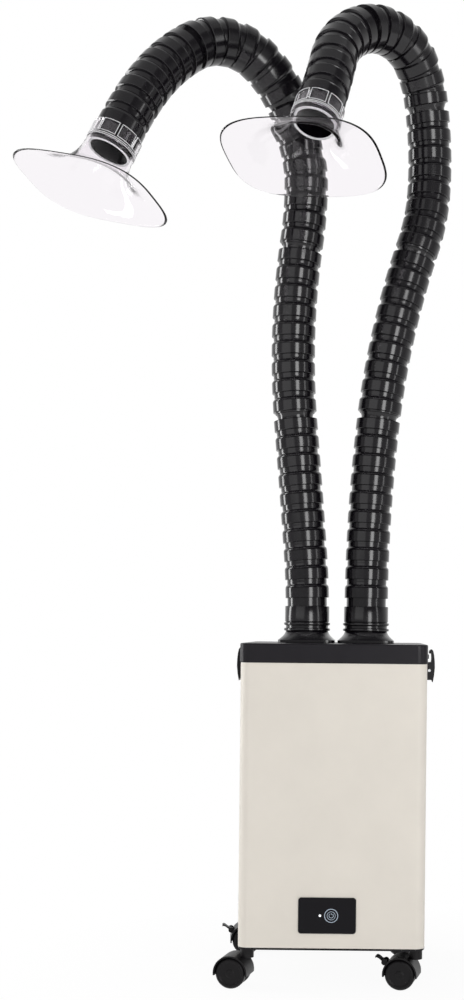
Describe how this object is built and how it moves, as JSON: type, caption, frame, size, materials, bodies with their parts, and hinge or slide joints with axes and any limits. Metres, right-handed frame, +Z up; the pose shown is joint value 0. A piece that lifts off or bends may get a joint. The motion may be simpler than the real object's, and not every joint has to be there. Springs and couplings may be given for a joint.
{
  "type": "welding fume extractor",
  "caption": "Mobile fume extractor: filter cabinet on casters with a clipped lid and jointed ring arms that carry clear flared hoods.",
  "frame": {"origin": "centre of the flat rest pad under the base tray", "axes": "+Z up, front with the control panel faces -Y"},
  "size_m": [0.5725, 0.4428, 1.3363],
  "materials": {
    "shell_coat": "fine powder coat",
    "tray_steel": "satin",
    "deck_steel": "zinc plated",
    "plain_steel": "zinc plated",
    "lid_plastic": "satin",
    "latch_plastic": "satin",
    "duct_plastic": "glossy",
    "hood_clear": "clear",
    "caster_plastic": "satin",
    "wheel_plastic": "satin",
    "panel_gloss": "glossy",
    "board": "satin",
    "electrode": "plain",
    "lens": "glossy",
    "case_plastic": "moulded",
    "motor_iron": "painted",
    "carbon": "granular",
    "media": "fibre mat",
    "seal_rubber": "matt"
  },
  "bodies": {
    "cabinet": {"base_tray": "tray_steel", "cabinet_shell": "shell_coat", "rear_panel": "shell_coat", "exhaust_grille": "lid_plastic", "power_inlet": "lid_plastic", "panel_screws": "plain_steel", "fan_deck": "deck_steel", "deck_posts": "plain_steel", "blower_housing": "case_plastic", "blower_motor": "motor_iron", "carbon_filter": "carbon", "hepa_filter": "media", "pre_filter": "media", "filter_seal": "seal_rubber", "control_panel": "panel_gloss", "control_board": "board", "touch_electrode": "electrode", "status_led": "lens", "latch_brackets": "latch_plastic", "latch_pins": "plain_steel", "caster_stems": "plain_steel", "caster_nuts": "plain_steel"},
    "lid": {"lid": "lid_plastic", "lid_gasket": "seal_rubber", "left_flange": "duct_plastic", "right_flange": "duct_plastic", "flange_screws": "plain_steel"},
    "rotor": {"impeller": "case_plastic", "motor_shaft": "plain_steel"},
    "left_clip": {"left_latch_clip": "latch_plastic"},
    "right_clip": {"right_latch_clip": "latch_plastic"},
    "left_arm_1": {"left_duct_1": "duct_plastic"},
    "left_arm_2": {"left_duct_2": "duct_plastic"},
    "left_arm_3": {"left_duct_3": "duct_plastic"},
    "left_arm_4": {"left_duct_4": "duct_plastic"},
    "left_arm_5": {"left_duct_5": "duct_plastic"},
    "left_hood": {"left_hood": "hood_clear"},
    "right_arm_1": {"right_duct_1": "duct_plastic"},
    "right_arm_2": {"right_duct_2": "duct_plastic"},
    "right_arm_3": {"right_duct_3": "duct_plastic"},
    "right_arm_4": {"right_duct_4": "duct_plastic"},
    "right_arm_5": {"right_duct_5": "duct_plastic"},
    "right_hood": {"right_hood": "hood_clear"},
    "front_left_caster": {"front_left_fork": "caster_plastic"},
    "front_left_wheel_pair": {"front_left_wheels": "wheel_plastic", "front_left_axle": "plain_steel"},
    "front_right_caster": {"front_right_fork": "caster_plastic"},
    "front_right_wheel_pair": {"front_right_wheels": "wheel_plastic", "front_right_axle": "plain_steel"},
    "front_right_brake": {"front_right_brake_lever": "caster_plastic"},
    "rear_left_caster": {"rear_left_fork": "caster_plastic"},
    "rear_left_wheel_pair": {"rear_left_wheels": "wheel_plastic", "rear_left_axle": "plain_steel"},
    "rear_left_brake": {"rear_left_brake_lever": "caster_plastic"},
    "rear_right_caster": {"rear_right_fork": "caster_plastic"},
    "rear_right_wheel_pair": {"rear_right_wheels": "wheel_plastic", "rear_right_axle": "plain_steel"}
  },
  "joints": [
    {"name": "lid_lift", "type": "slide", "parent": "cabinet", "child": "lid", "axis": [0, 0, 1], "range_m": [0, 0.08]},
    {"name": "rotor_spin", "type": "hinge", "parent": "cabinet", "child": "rotor", "pos_m": [0, 0, 0.1], "axis": [0, 0, 1], "continuous": true},
    {"name": "left_clip_turn", "type": "hinge", "parent": "cabinet", "child": "left_clip", "pos_m": [-0.13249, 0, 0.37242], "axis": [0, -1, 0], "range_deg": [-6, 28]},
    {"name": "right_clip_turn", "type": "hinge", "parent": "cabinet", "child": "right_clip", "pos_m": [0.13249, 0, 0.37242], "axis": [0, 1, 0], "range_deg": [-6, 28]},
    {"name": "left_arm_swivel", "type": "hinge", "parent": "lid", "child": "left_arm_1", "pos_m": [-0.042, 0, 0.462], "axis": [0, 0, 1], "range_deg": [-100, 5]},
    {"name": "left_arm_bend_1", "type": "hinge", "parent": "left_arm_1", "child": "left_arm_2", "pos_m": [-0.06283, -0.00002, 0.7443], "axis": [-0.0001, 1, 0.0017], "range_deg": [-9, 3]},
    {"name": "left_arm_bend_2", "type": "hinge", "parent": "left_arm_2", "child": "left_arm_3", "pos_m": [-0.05499, -0.00229, 0.98242], "axis": [0.9907, 0, -0.1357], "range_deg": [-9, 9]},
    {"name": "left_arm_bend_3", "type": "hinge", "parent": "left_arm_3", "child": "left_arm_4", "pos_m": [-0.08261, -0.04287, 1.17869], "axis": [-0.2146, 0.9178, 0.3342], "range_deg": [-6, 6]},
    {"name": "left_arm_bend_4", "type": "hinge", "parent": "left_arm_4", "child": "left_arm_5", "pos_m": [-0.21125, -0.12995, 1.19414], "axis": [-0.3493, 0.831, -0.4329], "range_deg": [-2, 12]},
    {"name": "left_hood_turn", "type": "hinge", "parent": "left_arm_5", "child": "left_hood", "pos_m": [-0.28209, -0.1946, 1.06285], "axis": [-0.3832, -0.1959, -0.9027], "range_deg": [-90, 90]},
    {"name": "right_arm_swivel", "type": "hinge", "parent": "lid", "child": "right_arm_1", "pos_m": [0.042, 0, 0.462], "axis": [0, 0, 1], "range_deg": [-5, 100]},
    {"name": "right_arm_bend_1", "type": "hinge", "parent": "right_arm_1", "child": "right_arm_2", "pos_m": [0.05876, 0.00004, 0.74448], "axis": [-0.0004, 1, -0.0035], "range_deg": [-3, 9]},
    {"name": "right_arm_bend_2", "type": "hinge", "parent": "right_arm_2", "child": "right_arm_3", "pos_m": [0.1105, 0.00458, 0.97707], "axis": [0.9511, 0, -0.309], "range_deg": [-9, 9]},
    {"name": "right_arm_bend_3", "type": "hinge", "parent": "right_arm_3", "child": "right_arm_4", "pos_m": [0.11931, -0.00897, 1.18167], "axis": [-0.0458, 0.9598, 0.2769], "range_deg": [-9, 6]},
    {"name": "right_arm_bend_4", "type": "hinge", "parent": "right_arm_4", "child": "right_arm_5", "pos_m": [0.02079, -0.11704, 1.23061], "axis": [-0.4512, 0.7727, -0.4465], "range_deg": [-2, 12]},
    {"name": "right_hood_turn", "type": "hinge", "parent": "right_arm_5", "child": "right_hood", "pos_m": [-0.02323, -0.19951, 1.09915], "axis": [-0.2334, -0.3453, -0.909], "range_deg": [-90, 90]},
    {"name": "front_left_swivel", "type": "hinge", "parent": "cabinet", "child": "front_left_caster", "pos_m": [-0.114, -0.1, 0.0015], "axis": [0, 0, 1], "continuous": true},
    {"name": "front_left_roll", "type": "hinge", "parent": "front_left_caster", "child": "front_left_wheel_pair", "pos_m": [-0.13258, -0.09605, -0.035], "axis": [0.2079, 0.9781, 0], "continuous": true},
    {"name": "front_right_swivel", "type": "hinge", "parent": "cabinet", "child": "front_right_caster", "pos_m": [0.114, -0.1, 0.0015], "axis": [0, 0, 1], "continuous": true},
    {"name": "front_right_roll", "type": "hinge", "parent": "front_right_caster", "child": "front_right_wheel_pair", "pos_m": [0.09542, -0.09605, -0.035], "axis": [0.2079, 0.9781, 0], "continuous": true},
    {"name": "front_right_brake_press", "type": "hinge", "parent": "front_right_caster", "child": "front_right_brake", "pos_m": [0.07327, -0.09134, -0.02085], "axis": [-0.2079, -0.9781, 0], "range_deg": [0, 14]},
    {"name": "rear_left_swivel", "type": "hinge", "parent": "cabinet", "child": "rear_left_caster", "pos_m": [-0.114, 0.1, 0.0015], "axis": [0, 0, 1], "continuous": true},
    {"name": "rear_left_roll", "type": "hinge", "parent": "rear_left_caster", "child": "rear_left_wheel_pair", "pos_m": [-0.1329, 0.09801, -0.035], "axis": [-0.1045, 0.9945, 0], "continuous": true},
    {"name": "rear_left_brake_press", "type": "hinge", "parent": "rear_left_caster", "child": "rear_left_brake", "pos_m": [-0.15541, 0.09565, -0.02085], "axis": [0.1045, -0.9945, 0], "range_deg": [0, 14]},
    {"name": "rear_right_swivel", "type": "hinge", "parent": "cabinet", "child": "rear_right_caster", "pos_m": [0.114, 0.1, 0.0015], "axis": [0, 0, 1], "continuous": true},
    {"name": "rear_right_roll", "type": "hinge", "parent": "rear_right_caster", "child": "rear_right_wheel_pair", "pos_m": [0.09556, 0.0954, -0.035], "axis": [-0.2419, 0.9703, 0], "continuous": true}
  ]
}
